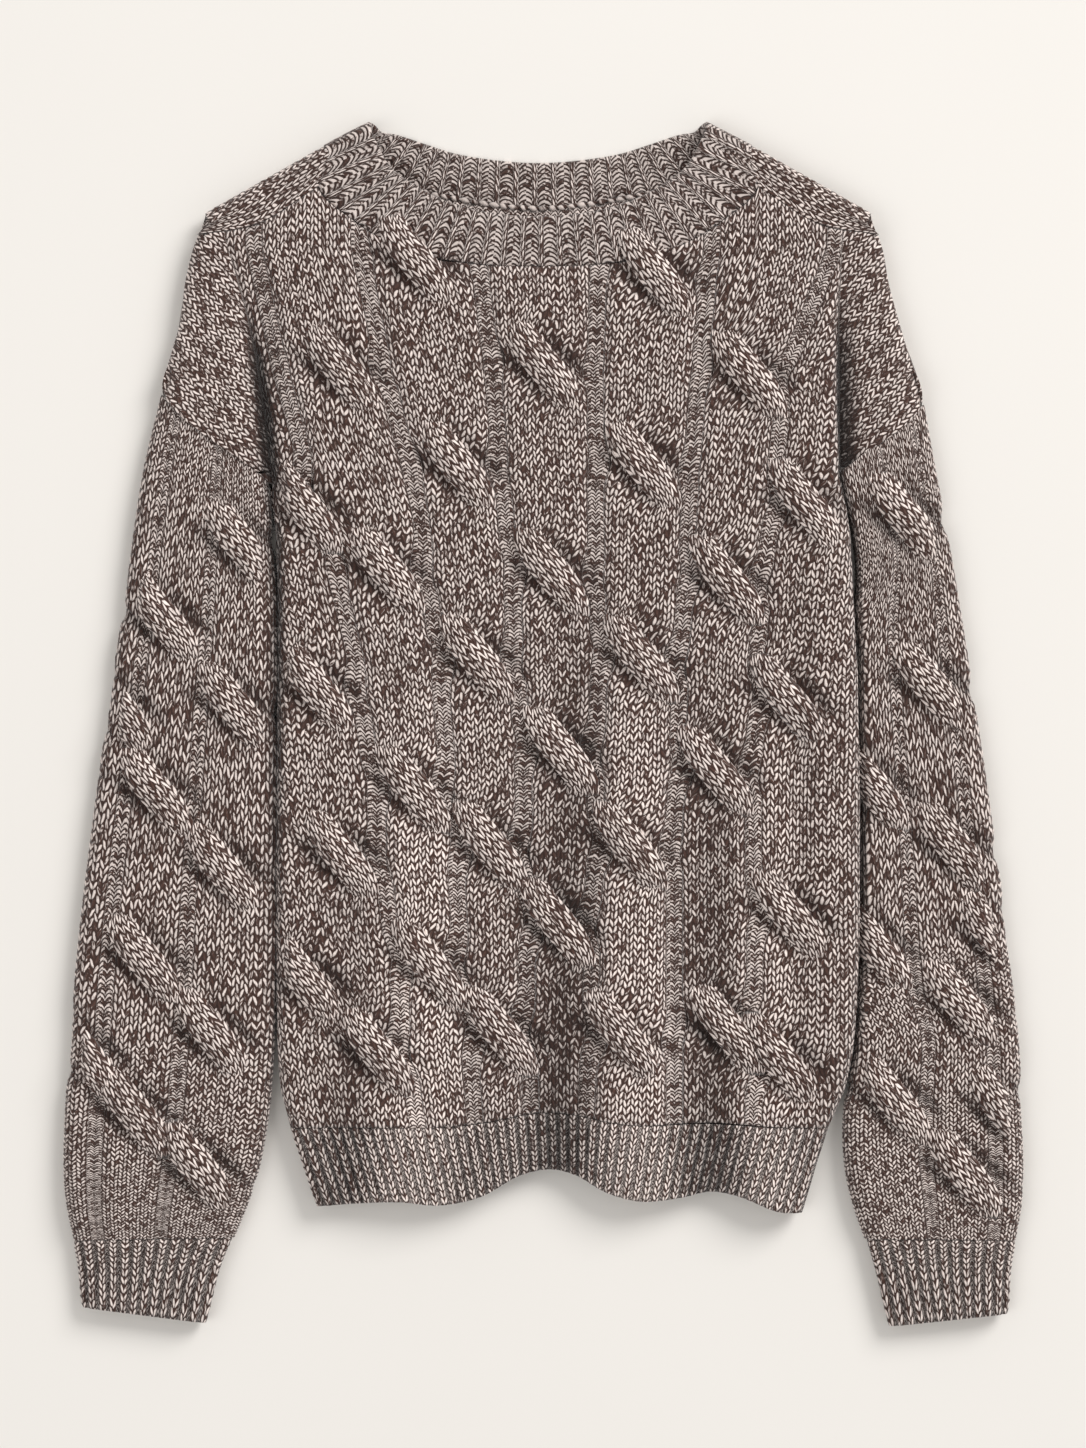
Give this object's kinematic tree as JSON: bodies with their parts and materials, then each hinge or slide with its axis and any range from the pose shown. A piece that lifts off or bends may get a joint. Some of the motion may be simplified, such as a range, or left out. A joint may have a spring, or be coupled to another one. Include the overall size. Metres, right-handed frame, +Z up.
{
  "type": "cable knit sweater",
  "caption": "Crew-neck pullover in a two-tone marl cable knit with ribbed neck, cuffs and hem, laid flat with the sleeves beside the body",
  "frame": {"origin": "the surface under the middle of the laid sweater's outline", "axes": "+X to the right of the front as it is seen from above, +Y from the hem to the neck, +Z up off the surface it lies on"},
  "size_m": [0.5806, 0.735, 0.0264],
  "materials": {
    "cable_knit": "chunky cable knit in a marl of off-white and dark brown yarn, soft and matt with a slight fuzz",
    "rib_knit": "ribbing in the same marl yarn, matt"
  },
  "bodies": {
    "root": {"front_panel": "cable_knit", "back_panel": "cable_knit", "left_sleeve": "cable_knit", "right_sleeve": "cable_knit", "neckband": "rib_knit", "front_hem_rib": "rib_knit", "back_hem_rib": "rib_knit", "left_cuff": "rib_knit", "right_cuff": "rib_knit"}
  },
  "joints": []
}
